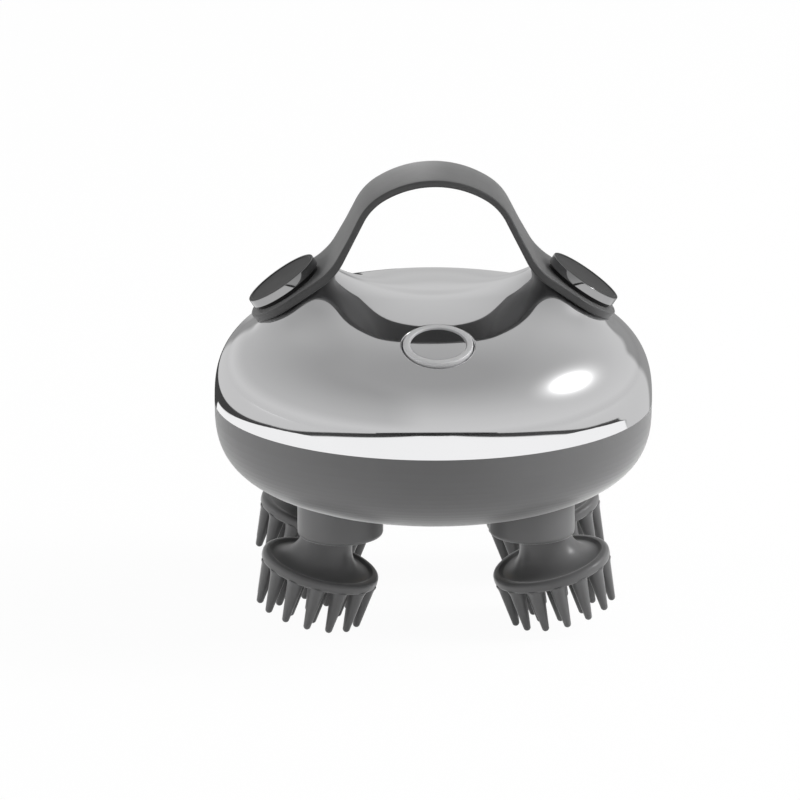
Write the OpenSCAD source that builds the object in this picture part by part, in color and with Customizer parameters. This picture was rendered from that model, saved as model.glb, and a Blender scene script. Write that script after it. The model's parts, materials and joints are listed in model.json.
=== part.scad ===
// Cordless scalp massager: a round body on four kneading heads, under a strap handle.
// A motor drives a central sun gear. The sun turns four output gears, and each one
// carries a bent shaft that swings a tilted silicone head round its collar.
// Units are millimetres. Z = 0 is the table under the lowest bristle tips.

/* [Body] */
// Diameter of the round body at its seam
body_d = 90; // [88:0.5:94]
// Height of the crown above the seam
dome_h = 23.2; // [22.8:0.1:25]
// Fullness of the top shell's curve
dome_power = 2.72; // [2.6:0.02:2.9]
// Depth of the lower case below the seam
case_depth = 20.6; // [20.2:0.1:21.5]
// Fullness of the lower case's curve
case_power = 3; // [2.8:0.05:3.2]
// Wall thickness of both shells
wall = 2.2; // [1.8:0.1:2.4]
// Depth of the spigot that centres the top shell in the lower case
spigot_h = 2.2; // [1.6:0.2:3]
// Thickness of the rubber ring in the seam
seal_d = 0.76; // [0.6:0.02:0.84]

/* [Strap handle] */
// Height of the strap's top above the seam
strap_rise = 48.6; // [46:0.2:52]
// Width of the strap at its top
strap_w = 17.6; // [15:0.2:19]
// Thickness of the strap
strap_t = 1.7; // [1.4:0.1:2.2]
// Radius of the curve across the strap's top
strap_crown_r = 20.8; // [19:0.2:22.6]
// Radius of the strap's two shoulders
strap_shoulder_r = 11.6; // [9:0.2:13]
// Radius of the round pad at each end of the strap
pad_r = 10.3; // [10:0.1:11]
// Distance from each pad's centre to its outer end
pad_reach = 9.2; // [8.8:0.1:10]
// Distance of each strap seat from the body's axis
seat_x = 28.8; // [28.2:0.1:29.6]
// Height of each seat's centre above the dome
seat_rise = 2; // [1.7:0.1:2.6]
// Slope of the seats, in degrees
seat_tilt = 34.5; // [33:0.5:36]
// Radius of the raised seats
seat_r = 9.2; // [8.8:0.1:9.4]
// Radius of the glossy cap on each pad
cap_r = 7.9; // [7.4:0.1:8.6]
// Thickness of the cap
cap_t = 1.45; // [1.2:0.05:2]
// Height of the dark neck that lifts the cap off the pad
cap_neck_h = 1.1; // [0.6:0.1:1.4]
// Diameter of the cap's stud
stud_d = 5.8; // [5:0.2:6.6]

/* [Button] */
// Distance of the button's centre in front of the body's axis
button_y = 30.2; // [29.6:0.1:30.8]
// Diameter of the button over its ring
button_d = 14.1; // [13.6:0.1:14.8]
// Width of the bright ring's rim
ring_w = 1.3; // [1:0.05:1.5]
// How far the button travels
button_travel = 0.5; // [0.3:0.05:0.6]

/* [Massage heads] */
// Lean of each head away from the upright, in degrees
head_tilt = 15; // [14:0.25:15.5]
// Turn of each head's lean towards the rear, in degrees
lean_turn = 15; // [0:1:20]
// Depth of each shaft's bend below the seam
bend_drop = 14.1; // [13.8:0.1:14.6]
// Distance along the leaning shaft from its bend to the middle of the flange
flange_reach = 16.5; // [16:0.1:17]
// Radius of the round flange
flange_r = 12.2; // [11.8:0.1:12.6]
// Thickness of the flange at its rim
flange_t = 2.1; // [1.9:0.1:2.4]
// Length of the bristles below the flange
bristle_len = 9.2; // [8.4:0.1:9.8]
// Radius of a bristle at its root
bristle_root_r = 1.75; // [1.5:0.05:1.85]
// Radius of a bristle's round tip
bristle_tip_r = 0.75; // [0.6:0.05:0.9]
// Number of bristles in the outer ring
outer_bristles = 14; // [12:1:14]
// Number of bristles in the inner ring
inner_bristles = 8; // [6:1:8]
// Outer radius of the collars under the case
collar_r = 8.75; // [8.6:0.05:9]
// Depth of the collars' lower edge below the seam
collar_drop = 23.1; // [22.8:0.1:23.6]
// Wall thickness of the collars
collar_wall = 0.75; // [0.7:0.05:0.9]

/* [Gears] */
// Distance of the heads' axes from the body's axis, as a share of the body's radius
head_share = 0.6133; // [0.606:0.001:0.62]
// Teeth on the sun gear
sun_teeth = 38; // [37:1:39]
// Teeth on each output gear
out_teeth = 31; // [30:1:32]
// Module of the motor's pinion and its wheel
wheel_m = 0.5; // [0.49:0.005:0.51]
// Teeth on the wheel above the sun gear
wheel_teeth = 60; // [58:2:60]
// Teeth on the motor's pinion
pinion_teeth = 12; // [12:1:13]
// Width of the sun and output gears
gear_w = 4; // [3.6:0.1:4.2]
// Radius of the output shafts
shaft_r = 2; // [1.8:0.05:2.2]
// Radius of the sun gear's axle
axle_r = 1.5; // [1.3:0.05:1.8]

/* [Drive and battery] */
// Radius of the motor's can
motor_r = 12.2; // [11.6:0.1:12.4]
// Height of the motor's can
motor_h = 12.3; // [11.5:0.1:12.8]
// Radius of the motor's shaft
motor_shaft_r = 1; // [0.9:0.05:1.1]
// Thickness of the plate that carries the motor
plate_t = 2.2; // [2:0.1:2.4]
// Length of the battery
battery_l = 40; // [38:0.5:41]
// Width of the battery
battery_w = 20; // [18:0.5:20.5]
// Thickness of the battery
battery_t = 8; // [6:0.5:8.5]
// Thickness of the circuit board
board_t = 1.6; // [1:0.2:1.6]

/* [Hidden] */
$fn = 96;

// Clearances
run_gap = 0.04;    // shaft in its bearing, on the radius
slip_gap = 0.05;   // pieces that are pushed together
part_gap = 0.3;    // pieces that move past each other
soft_gap = 0.1;    // round silicone pieces
eps = 0.01;        // overlap of cutting tools

// Head geometry, measured along the leaning shaft from its bend
tip_reach = flange_reach + flange_t / 2 + bristle_len;
outer_ring_r = flange_r - bristle_root_r - 0.05;
inner_ring_r = outer_ring_r * 0.6;
seam_z = bend_drop + (tip_reach - bristle_tip_r) * cos(head_tilt)
       + outer_ring_r * sin(head_tilt) + bristle_tip_r;
bend_z = seam_z - bend_drop;
collar_z = seam_z - collar_drop;
collar_in_r = collar_r - collar_wall;
mouth_reach = (collar_drop - bend_drop) / cos(head_tilt);
neck_r = collar_in_r - (mouth_reach + 1) * sin(head_tilt) - part_gap + 0.2;
neck_top = 4.6;

// Gear train
centre_dist = head_share * body_d / 2;
sun_m = 2 * centre_dist / (sun_teeth + out_teeth);
head_xy = centre_dist / sqrt(2);
pinion_y = wheel_m * (wheel_teeth + pinion_teeth) / 2;
gear_z = seam_z - 5.5;
wheel_gap = 0.5;
wheel_w = 2.4;
wheel_z = gear_z + gear_w + wheel_gap;
plate_z = wheel_z + wheel_w + 1;
plate_top = plate_z + plate_t;
plate_r = centre_dist + 8.4;
backlash = 0.14;

// Bearings
bush_flange_t = 0.7;
lower_bush_h = 4;
tower_z = gear_z - part_gap - bush_flange_t;
bush_r = shaft_r + 1.4;
bush_flange_r = bush_r + 1;
seal_r = shaft_r + 2.4;
seal_top = tower_z - lower_bush_h;
seal_z = bend_z + 0.5;
cavity_top = bend_z - 0.6;

// Shells
body_r = body_d / 2;
inner_r = body_r - wall;
inner_dome = dome_h - wall;
inner_depth = case_depth - wall;
spigot_r = inner_r - 0.25;
spigot_t = 1.3;
groove_r = body_r - wall / 2;
screw_ring = body_r - 8.5;
case_screw_at = [[-screw_ring, 0], [screw_ring, 0], [0, screw_ring]];
case_boss_r = 3.3;
contact_x = 7;
contact_r = 1.8;
case_seat_z = seam_z - 9;
plate_screw_x = 9;
plate_screw_at = [for (sx = [-1, 1], sy = [-1, 1]) [sx * plate_screw_x, sy * (plate_r - 3)]];
plate_boss_r = 2.8;
screw_sink = 1.1;

// Seats, in steps along their normal
strap_low = soft_gap;
cap_low = strap_low + strap_t + slip_gap + cap_neck_h;
inner_boss_r = stud_d / 2 + 2.3;
stud_deep = 3.6;
inner_boss_deep = 6.8;

// Button, in steps along its normal below the shell's surface
button_r = button_d / 2;
bore_r = button_r + 0.25;
disc_r = button_r - ring_w;
sleeve_deep = 4;
flange_top = sleeve_deep + part_gap;
flange_deep = flange_top + 0.6;
diaphragm_top = flange_deep + button_travel + 0.25;
diaphragm_deep = diaphragm_top + 0.6;
stem_deep = diaphragm_deep + 0.3;
plunger_top = stem_deep + slip_gap;
switch_top = plunger_top + button_travel + 0.15;
board_top = switch_top + 2.3;
board_low = board_top + board_t;
board_size = [30, 13];
post_x = 12.8;

// Small screws: shank radius, head radius, head height
m2 = [1, 1.9, 1.4];
m26 = [1.3, 2.3, 1.6];

// Four head places: left or right, front or rear
corners = [[-1, -1], [1, -1], [-1, 1], [1, 1]];

// ---- Curves ----

// A rounded quarter profile of the given half width, height and fullness
function bow(a, b, p, n = 28) =
    [for (i = [0 : n]) let (t = 90 * i / n) [a * pow(cos(t), 2 / p), b * pow(sin(t), 2 / p)]];

function dome_z(r) = dome_h * pow(1 - pow(r / body_r, dome_power), 1 / dome_power);

function dome_slope(r) =
    atan(dome_h / body_r * pow(r / body_r, dome_power - 1) / pow(dome_z(r) / dome_h, dome_power - 1));

// Points of an arc, angles in degrees
function arc(cx, cy, r, a0, a1, n = 10) =
    [for (i = [0 : n]) let (a = a0 + (a1 - a0) * i / n) [cx + r * cos(a), cy + r * sin(a)]];

// Involute gear outline
function inv_deg(r, base) = r <= base ? 0
    : let (t = sqrt(r * r / (base * base) - 1)) t * 180 / PI - atan(t);

function gear_points(m, teeth, add, play, phase) =
    let (pitch = m * teeth / 2, base = pitch * cos(20), root = pitch - 1.25 * m, tip = pitch + add,
         low = max(base, root), half = 90 / teeth - play / 2 / pitch * 180 / PI + inv_deg(pitch, base),
         radii = [root, low, low + (tip - low) * 0.35, low + (tip - low) * 0.7, tip])
    [for (k = [0 : teeth - 1], side = [-1, 1], j = [0 : 4])
        let (r = radii[side < 0 ? j : 4 - j], a = phase + 360 * k / teeth + side * (half - inv_deg(r, base)))
        r * [cos(a), sin(a)]];

// Phase that puts a gear in mesh with another whose tooth 0 points along +X
function mesh_phase(at, teeth, other) = at + 180 + 180 / teeth + at * other / teeth;

// ---- Helpers ----

module ring(r_out, r_in, h) {
    difference() {
        cylinder(r = r_out, h = h);
        translate([0, 0, -1])
            cylinder(r = r_in, h = h + 2);
    }
}

module rounded_box(size, r) {
    translate([0, 0, size[2] / 2]) {
        cube([size[0] - 2 * r, size[1], size[2]], center = true);
        cube([size[0], size[1] - 2 * r, size[2]], center = true);
        for (x = [-1, 1], y = [-1, 1])
            translate([x * (size[0] / 2 - r), y * (size[1] / 2 - r), 0])
                cylinder(r = r, h = size[2], center = true);
    }
}

// A screw with its head below z = 0 and its shank above
module screw(kind, length) {
    translate([0, 0, -kind[2]])
        difference() {
            cylinder(r = kind[1], h = kind[2]);
            translate([0, 0, kind[2] * 0.2])
                cube([kind[1] * 1.2, 0.5, kind[2]], center = true);
            translate([0, 0, kind[2] * 0.2])
                cube([0.5, kind[1] * 1.2, kind[2]], center = true);
        }
    cylinder(r = kind[0] - slip_gap, h = length - kind[0]);
    translate([0, 0, length - kind[0]])
        cylinder(r1 = kind[0] - slip_gap, r2 = kind[0] * 0.4, h = kind[0]);
}

seat_h = dome_z(seat_x) + seat_rise;

// Frames that carry children to the seats, the button and the heads
module on_seat(side) {
    translate([side * seat_x, 0, seam_z + seat_h])
        rotate([0, side * seat_tilt, 0])
            children();
}

module on_button() {
    translate([0, -button_y, seam_z + dome_z(button_y)])
        rotate([dome_slope(button_y), 0, 0])
            children();
}

// Turn that leans a head's shaft outwards and a little to the rear
function lean(corner) = corner[0] < 0 ? -lean_turn : 180 + lean_turn;

module at_shaft(corner) {
    translate([corner[0] * head_xy, corner[1] * head_xy, 0])
        rotate(lean(corner))
            children();
}

module on_head(corner) {
    at_shaft(corner)
        translate([0, 0, bend_z])
            rotate([0, head_tilt, 0])
                children();
}

// ---- Shells ----

// Raised seat that stands out of the shoulder and sweeps into the crown at its foot
module seat_boss(side) {
    on_seat(side)
        rotate_extrude()
            polygon([[0, -15], [seat_r + 4.6, -15], [seat_r + 4.6, -10.6], [seat_r + 2.8, -8.6],
                     [seat_r + 1.4, -6.6], [seat_r + 0.5, -4.4], [seat_r, -2.2], [seat_r, -0.4],
                     [seat_r - 0.4, 0], [0, 0]]);
}

module dome_cavity() {
    translate([0, 0, seam_z - eps])
        rotate_extrude()
            polygon(concat([[0, 0]], bow(inner_r, inner_dome, dome_power)));
}

module top_shell() {
    color([0.72, 0.72, 0.73])
        difference() {
            union() {
                difference() {
                    union() {
                        translate([0, 0, seam_z])
                            rotate_extrude()
                                polygon(concat([[0, 0]], bow(body_r, dome_h, dome_power)));
                        for (side = [-1, 1])
                            seat_boss(side);
                    }
                    dome_cavity();
                }
                // spigot that drops into the lower case
                translate([0, 0, seam_z - spigot_h])
                    ring(spigot_r, spigot_r - spigot_t, spigot_h + 1.5);
                translate([0, 0, seam_z])
                    ring(spigot_r + 1, spigot_r - spigot_t, 1.5);
                // bosses for the case screws
                for (at = case_screw_at)
                    intersection() {
                        translate([at[0], at[1], seam_z])
                            cylinder(r = case_boss_r, h = dome_h);
                        translate([0, 0, seam_z])
                            rotate_extrude()
                                polygon(concat([[0, 0]], bow(body_r - 1, dome_h - 1, dome_power)));
                    }
                // inner bosses under the seats
                for (side = [-1, 1])
                    on_seat(side)
                        translate([0, 0, -inner_boss_deep])
                            cylinder(r = inner_boss_r, h = inner_boss_deep - 1);
                // sleeve, skirt and board posts under the button
                on_button() {
                    translate([0, 0, -diaphragm_deep])
                        cylinder(r = bore_r + 2.6, h = diaphragm_deep - wall + 0.2);
                    for (x = [-post_x, post_x])
                        translate([x, 0, -board_top])
                            cylinder(r = 2.2, h = board_top - wall + 0.2);
                }
            }
            for (at = case_screw_at)
                translate([at[0], at[1], seam_z - eps])
                    cylinder(r = m26[0], h = 9);
            for (side = [-1, 1])
                on_seat(side) {
                    translate([0, 0, -stud_deep])
                        cylinder(d = stud_d + 2 * slip_gap, h = stud_deep + 1);
                    translate([0, 0, -inner_boss_deep - 1])
                        cylinder(r = m2[0] + 0.1, h = inner_boss_deep);
                }
            on_button() {
                translate([0, 0, -sleeve_deep - 1])
                    cylinder(r = bore_r, h = sleeve_deep + 4);
                translate([0, 0, -diaphragm_deep - 1])
                    cylinder(r = bore_r + 1.5, h = diaphragm_deep - sleeve_deep + 1);
                for (x = [-post_x, post_x])
                    translate([x, 0, -board_top - 1])
                        cylinder(r = m2[0], h = 6);
            }
        }
}

module collar_body(corner) {
    at_shaft(corner) {
        translate([0, 0, collar_z + 1])
            cylinder(r = collar_r, h = tower_z - collar_z - 1);
        translate([0, 0, collar_z])
            rotate_extrude()
                polygon(concat([[0, 0]], arc(collar_r - 1, 1, 1, 270, 360, 6), [[0, 1]]));
    }
}

module collar_bores(corner) {
    at_shaft(corner) {
        translate([0, 0, collar_z - 1])
            cylinder(r = collar_in_r, h = cavity_top - collar_z + 1);
        translate([0, 0, cavity_top - 1])
            cylinder(r = seal_r + slip_gap, h = seal_top - cavity_top + 1);
        translate([0, 0, seal_top - 1])
            cylinder(r = bush_r + slip_gap, h = tower_z - seal_top + 2);
    }
}

module lower_case() {
    color([0.42, 0.42, 0.43])
        difference() {
            union() {
                translate([0, 0, seam_z])
                    mirror([0, 0, 1])
                        difference() {
                            rotate_extrude()
                                polygon(concat([[0, 0]], bow(body_r, case_depth, case_power)));
                            translate([0, 0, -eps])
                                rotate_extrude()
                                    polygon(concat([[0, 0]], bow(inner_r, inner_depth, case_power)));
                        }
                for (corner = corners)
                    collar_body(corner);
                // axle boss and contact pads on the floor
                translate([0, 0, seam_z - case_depth + 1])
                    cylinder(r = axle_r + 2.5, h = gear_z - part_gap - seam_z + case_depth - 1);
                for (x = [-contact_x, contact_x])
                    translate([x, 0, seam_z - case_depth + 1])
                        cylinder(r = 3.4, h = wall);
                // bosses for the case screws and the plate screws
                intersection() {
                    union() {
                        for (at = case_screw_at)
                            translate([at[0], at[1], seam_z - case_depth])
                                cylinder(r = case_boss_r, h = case_depth);
                        for (at = plate_screw_at)
                            translate([at[0], at[1], seam_z - case_depth])
                                cylinder(r = plate_boss_r, h = plate_z - seam_z + case_depth);
                    }
                    translate([0, 0, seam_z])
                        rotate_extrude()
                            polygon(concat(
                                [for (q = bow(body_r - 0.5, case_depth - 0.5, case_power)) [q[0], -q[1]]],
                                [[0, case_depth], [body_r - 0.5, case_depth]]));
                }
            }
            for (corner = corners)
                collar_bores(corner);
            // groove for the seal
            translate([0, 0, seam_z - seal_d - 0.04])
                ring(groove_r + seal_d / 2 + slip_gap, groove_r - seal_d / 2 - slip_gap, seal_d + 1);
            // blind seat of the axle
            translate([0, 0, seam_z - case_depth + wall + 1.5])
                cylinder(r = axle_r + slip_gap / 2, h = case_depth);
            for (at = case_screw_at) {
                translate([at[0], at[1], seam_z - case_depth - 1])
                    cylinder(r = m26[1] + part_gap, h = case_seat_z - seam_z + case_depth + 1);
                translate([at[0], at[1], case_seat_z - 1])
                    cylinder(r = m26[0] + 0.15, h = 12);
            }
            for (at = plate_screw_at)
                translate([at[0], at[1], plate_z - 6])
                    cylinder(r = m2[0], h = 7);
            for (x = [-contact_x, contact_x])
                translate([x, 0, seam_z - case_depth - 1])
                    cylinder(r = contact_r + slip_gap, h = 6);
        }
}

module case_seal() {
    color([0.12, 0.12, 0.12])
        translate([0, 0, seam_z - seal_d / 2 - 0.02])
            rotate_extrude()
                translate([groove_r, 0])
                    circle(d = seal_d, $fn = 24);
}

module case_screws() {
    color([0.7, 0.7, 0.72])
        for (at = case_screw_at)
            translate([at[0], at[1], case_seat_z])
                screw(m26, 16);
}

// ---- Strap handle ----

// Centre line of half the strap in the X-Z plane, from its top to its seat
leg_angle = 63;
crown_angle = 32;
foot_r = 12.5;
flare_x = 9;
flare_end = 6;
crown_end = [strap_crown_r * sin(crown_angle),
             seam_z + strap_rise - strap_t / 2 - strap_crown_r * (1 - cos(crown_angle))];
shoulder_end = crown_end + strap_shoulder_r * [sin(leg_angle) - sin(crown_angle),
                                               cos(leg_angle) - cos(crown_angle)];
foot_turn = foot_r * [sin(leg_angle) - sin(seat_tilt), cos(leg_angle) - cos(seat_tilt)];
pad_mid = [seat_x, seam_z + seat_h] + (strap_low + strap_t / 2) * [sin(seat_tilt), cos(seat_tilt)];
// length of the straight leg that brings the foot onto the seat's line
foot_free = pad_mid - shoulder_end - foot_turn;
leg_len = (foot_free[0] * sin(seat_tilt) + foot_free[1] * cos(seat_tilt))
        / (cos(leg_angle) * sin(seat_tilt) - sin(leg_angle) * cos(seat_tilt));
leg_end = shoulder_end + leg_len * [cos(leg_angle), -sin(leg_angle)];

// Half the band's outline, offset by d from its centre line
function strap_edge(d) = concat(
    [for (i = [0 : 8]) let (a = crown_angle * i / 8)
        [0, crown_end[1] - strap_crown_r * cos(crown_angle)] + (strap_crown_r + d) * [sin(a), cos(a)]],
    [for (i = [1 : 8]) let (a = crown_angle + (leg_angle - crown_angle) * i / 8)
        crown_end - strap_shoulder_r * [sin(crown_angle), cos(crown_angle)]
        + (strap_shoulder_r + d) * [sin(a), cos(a)]],
    [for (i = [0 : 6]) let (a = leg_angle + (seat_tilt - leg_angle) * i / 6)
        leg_end + foot_r * [sin(leg_angle), cos(leg_angle)] - (foot_r - d) * [sin(a), cos(a)]],
    [pad_mid + d * [sin(seat_tilt), cos(seat_tilt)]]);

// Half width of the strap at a distance x from the middle
function strap_half_w(x) = let (u = min(1, max(0, (x - flare_x) / (pad_mid[0] - flare_end - flare_x))))
    strap_w / 2 + (pad_r - 0.3 - strap_w / 2) * u * u * (3 - 2 * u);

// Half length of a pad on the side that faces a: short at its outer end
function pad_length(a) = cos(a) > 0 ? pad_reach : pad_r;

module strap() {
    color([0.4, 0.4, 0.41])
        difference() {
            union() {
                intersection() {
                    rotate([90, 0, 0])
                        linear_extrude(4 * pad_r, center = true)
                            for (side = [-1, 1])
                                polygon([for (q = concat(strap_edge(strap_t / 2),
                                                         [for (k = [24 : -1 : 0]) strap_edge(-strap_t / 2)[k]]))
                                            [side * q[0], q[1]]]);
                    translate([0, 0, seam_z])
                        linear_extrude(strap_rise + 1)
                            for (side = [-1, 1])
                                polygon(concat(
                                    [for (k = [0 : 24]) let (x = k * pad_mid[0] / 24)
                                        [side * (x - eps), strap_half_w(x)]],
                                    [for (k = [24 : -1 : 0]) let (x = k * pad_mid[0] / 24)
                                        [side * (x - eps), -strap_half_w(x)]]));
                }
                for (side = [-1, 1])
                    on_seat(side)
                        translate([0, 0, strap_low])
                            linear_extrude(strap_t)
                                polygon([for (a = [0 : 3.75 : 359]) [side * cos(a) * pad_length(a), pad_r * sin(a)]]);
            }
            for (side = [-1, 1])
                on_seat(side)
                    translate([0, 0, -1])
                        cylinder(d = stud_d + 2 * soft_gap, h = 6);
        }
}

module strap_cap(side) {
    on_seat(side)
        translate([0, 0, cap_low])
            difference() {
                union() {
                    rotate_extrude()
                        polygon([[0, -cap_neck_h], [cap_r - 0.5, -cap_neck_h], [cap_r - 0.5, 0],
                                 [cap_r - 0.15, 0], [cap_r, 0.15], [cap_r, cap_t - 0.2],
                                 [cap_r - 0.2, cap_t], [cap_r - 0.7, cap_t], [cap_r - 1, cap_t - 0.15],
                                 [0, cap_t - 0.15]]);
                    translate([0, 0, -cap_low - stud_deep + slip_gap])
                        cylinder(d = stud_d, h = cap_low + stud_deep);
                }
                translate([0, 0, -cap_low - stud_deep])
                    cylinder(r = m2[0], h = stud_deep + 1.5);
            }
}

module cap_screws() {
    color([0.7, 0.7, 0.72])
        for (side = [-1, 1])
            on_seat(side)
                translate([0, 0, -inner_boss_deep])
                    screw(m2, inner_boss_deep - 0.5);
}

// ---- Button ----

module button_cap() {
    color([0.3, 0.3, 0.31])
        on_button() {
            translate([0, 0, -flange_deep])
                cylinder(r = disc_r - slip_gap, h = flange_deep - 0.1);
            translate([0, 0, -stem_deep])
                cylinder(r = 2.2, h = stem_deep - flange_deep + eps);
        }
}

module button_ring() {
    color([0.85, 0.85, 0.86])
        on_button()
            difference() {
                union() {
                    translate([0, 0, -flange_deep])
                        cylinder(r = button_r, h = flange_deep - 0.05);
                    translate([0, 0, -0.05 - eps])
                        cylinder(r1 = button_r, r2 = button_r - 0.2, h = 0.2 + eps);
                    translate([0, 0, -flange_deep])
                        cylinder(r = bore_r + 1.2, h = flange_deep - flange_top);
                }
                translate([0, 0, -flange_deep - 1])
                    cylinder(r = disc_r, h = flange_deep + 2);
            }
}

module button_diaphragm() {
    color([0.25, 0.25, 0.26])
        on_button()
            translate([0, 0, -diaphragm_deep])
                ring(bore_r + 1.5 - soft_gap / 2, 2.2 + soft_gap, diaphragm_deep - diaphragm_top);
}

module switch_plunger() {
    color([0.15, 0.15, 0.15])
        on_button()
            translate([0, 0, -switch_top - 0.5])
                cylinder(r = 1.6, h = switch_top + 0.5 - plunger_top);
}

module tact_switch() {
    color([0.6, 0.6, 0.62])
        on_button()
            translate([0, 0, -board_top])
                difference() {
                    rounded_box([6, 6, board_top - switch_top], 0.6);
                    translate([0, 0, board_top - switch_top - 1.3])
                        cylinder(r = 1.6 + soft_gap, h = 3);
                }
}

module control_board() {
    color([0.05, 0.35, 0.2])
        on_button()
            difference() {
                union() {
                    translate([0, 0, -board_low])
                        rounded_box([board_size[0], board_size[1], board_t], 1.5);
                    // charging chip, coil and two connectors on the underside
                    translate([-6, 1, -board_low - 1])
                        rounded_box([5, 4, 1 + eps], 0.4);
                    translate([1.5, 1.5, -board_low - 1.4])
                        rounded_box([4, 4, 1.4 + eps], 1);
                    for (x = [-3, 6])
                        translate([x, -4, -board_low - 1.6])
                            rounded_box([4, 2.6, 1.6 + eps], 0.3);
                }
                for (x = [-post_x, post_x])
                    translate([x, 0, -board_low - 1])
                        cylinder(r = m2[0] + 0.1, h = board_t + 2);
            }
}

module board_screws() {
    color([0.7, 0.7, 0.72])
        on_button()
            for (x = [-post_x, post_x])
                translate([x, 0, -board_low])
                    screw(m2, board_t + 3.6);
}

// ---- Battery ----

tray_y = pinion_y - motor_r - battery_w / 2 - 2.5;
tray_t = 1.2;
tray_h = 6;
tray_peg_x = 14;
tray_peg_r = 1.5;

module battery() {
    color([0.2, 0.4, 0.65])
        translate([0, tray_y, plate_top + tray_t])
            rounded_box([battery_l, battery_w, battery_t], 2);
}

module battery_tray() {
    color([0.16, 0.16, 0.16])
        translate([0, tray_y, plate_top])
            difference() {
                union() {
                    rounded_box([battery_l + 2 * tray_t, battery_w + 2 * tray_t, tray_h], 2.5);
                    for (x = [-tray_peg_x, tray_peg_x])
                        translate([x, 0, -plate_t + 0.2])
                            cylinder(r = tray_peg_r, h = plate_t);
                }
                translate([0, 0, tray_t])
                    rounded_box([battery_l + 2 * slip_gap, battery_w + 2 * slip_gap, tray_h], 2);
                // notches that let the strap tape through
                for (x = [-battery_l / 4, battery_l / 4])
                    translate([x, 0, tray_t + 3.5])
                        cube([8, battery_w + 10, 5], center = true);
            }
}

// ---- Motor ----

motor_nose_r = wheel_m * pinion_teeth / 2 + wheel_m + 0.1;
motor_screw_x = 8.5;

module motor_can() {
    color([0.75, 0.75, 0.77])
        translate([0, pinion_y, plate_top])
            difference() {
                union() {
                    cylinder(r = motor_r - 0.6, h = motor_h);
                    translate([0, 0, 0.6])
                        cylinder(r = motor_r, h = motor_h - 1.2);
                    cylinder(r1 = motor_r - 0.6, r2 = motor_r, h = 0.6);
                    translate([0, 0, motor_h - 0.6])
                        cylinder(r1 = motor_r, r2 = motor_r - 0.6, h = 0.6);
                    translate([0, 0, -1.5])
                        cylinder(r = motor_nose_r, h = 2);
                    translate([0, 0, motor_h - eps])
                        cylinder(r = 3, h = 1);
                }
                translate([0, 0, -2])
                    cylinder(r = motor_shaft_r + run_gap, h = motor_h);
                for (x = [-motor_screw_x, motor_screw_x])
                    translate([x, 0, -eps])
                        cylinder(r = m2[0], h = 3);
            }
}

module motor_shaft() {
    color([0.8, 0.8, 0.82])
        translate([0, pinion_y, wheel_z - 0.8])
            cylinder(r = motor_shaft_r, h = plate_top + motor_h - 3 - wheel_z);
}

module motor_pinion() {
    color([0.83, 0.7, 0.35])
        translate([0, pinion_y, wheel_z - 0.4])
            difference() {
                linear_extrude(wheel_w + 0.8)
                    polygon(gear_points(wheel_m, pinion_teeth, wheel_m, backlash / 2,
                                        mesh_phase(90, pinion_teeth, wheel_teeth)));
                translate([0, 0, -1])
                    cylinder(r = motor_shaft_r, h = 6);
            }
}

module motor_screws() {
    color([0.7, 0.7, 0.72])
        for (x = [-motor_screw_x, motor_screw_x])
            translate([x, pinion_y, plate_z])
                screw(m2, plate_t + 2.6);
}

// ---- Gear train ----

module gear_plate() {
    color([0.2, 0.2, 0.21])
        difference() {
            union() {
                translate([0, 0, plate_z])
                    cylinder(r = plate_r, h = plate_t);
                translate([0, 0, plate_z - 0.7])
                    cylinder(r = axle_r + 2.5, h = 0.7 + eps);
            }
            for (at = case_screw_at)
                translate([at[0], at[1], plate_z - 1])
                    cylinder(r = case_boss_r + part_gap, h = plate_t + 2);
            for (at = plate_screw_at) {
                translate([at[0], at[1], plate_z - 1])
                    cylinder(r = m2[0] + 0.1, h = plate_t + 2);
                translate([at[0], at[1], plate_top - screw_sink])
                    cylinder(r = m2[1] + slip_gap, h = plate_t);
            }
            for (corner = corners)
                at_shaft(corner)
                    translate([0, 0, plate_z - 1])
                        cylinder(r = bush_r + slip_gap, h = plate_t + 2);
            translate([0, 0, plate_z - 2])
                cylinder(r = axle_r + slip_gap / 2, h = plate_t + 3);
            translate([0, pinion_y, plate_z - 1])
                cylinder(r = motor_nose_r + slip_gap, h = plate_t + 2);
            for (x = [-motor_screw_x, motor_screw_x])
                translate([x, pinion_y, plate_z - 1])
                    cylinder(r = m2[0] + 0.1, h = plate_t + 2);
            for (x = [-tray_peg_x, tray_peg_x])
                translate([x, tray_y, plate_z - 1])
                    cylinder(r = tray_peg_r + slip_gap, h = plate_t + 2);
        }
}

module plate_screws() {
    color([0.7, 0.7, 0.72])
        for (at = plate_screw_at)
            translate([at[0], at[1], plate_top - screw_sink])
                mirror([0, 0, 1])
                    screw(m2, plate_t - screw_sink + 4.5);
}

module sun_gear() {
    web_out = sun_m * sun_teeth / 2 - 3;
    color([0.92, 0.92, 0.88])
        translate([0, 0, gear_z])
            difference() {
                union() {
                    linear_extrude(gear_w)
                        polygon(gear_points(sun_m, sun_teeth, sun_m, backlash, 0));
                    cylinder(r = sun_m * sun_teeth / 2 - 2, h = gear_w + wheel_gap + eps);
                    translate([0, 0, gear_w + wheel_gap])
                        linear_extrude(wheel_w)
                            polygon(gear_points(wheel_m, wheel_teeth, 0.7 * wheel_m, backlash / 2, 0));
                }
                translate([0, 0, -1])
                    cylinder(r = axle_r + run_gap, h = gear_w + wheel_w + 4);
                translate([0, 0, -eps])
                    ring(web_out, 4, 2);
                translate([0, 0, gear_w + 1.6])
                    ring(web_out, 4, 3);
            }
}

module gear_axle() {
    color([0.8, 0.8, 0.82])
        translate([0, 0, seam_z - case_depth + wall + 1.5])
            cylinder(r = axle_r, h = plate_top - seam_z + case_depth - wall - 1.7);
}

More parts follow.
